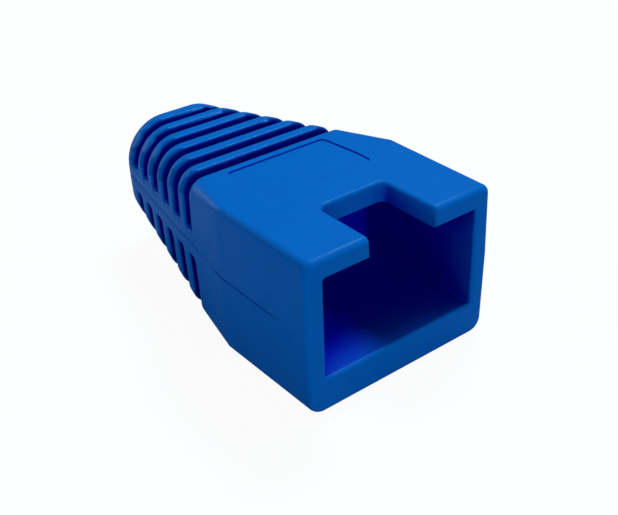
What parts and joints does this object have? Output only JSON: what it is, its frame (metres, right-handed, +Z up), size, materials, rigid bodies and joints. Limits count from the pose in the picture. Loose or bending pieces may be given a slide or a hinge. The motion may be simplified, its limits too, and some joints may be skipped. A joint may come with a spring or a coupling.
{
  "type": "modular plug strain relief boot",
  "caption": "Soft moulded boot that slides over a modular plug and its cable, with a latch notch and a ribbed, tapered tail.",
  "frame": {"origin": "middle of the boot's length and width, on the plane of its flat underside", "axes": "+Y along the cable from the plug end to the tail, +Z up through the latch side, +X across"},
  "size_m": [0.0142, 0.0254, 0.0106],
  "materials": {
    "blue_pvc": "soft blue PVC as moulded, satin, finely textured, with a faint parting line"
  },
  "bodies": {
    "root": {"strain_relief_boot": "blue_pvc"}
  },
  "joints": []
}
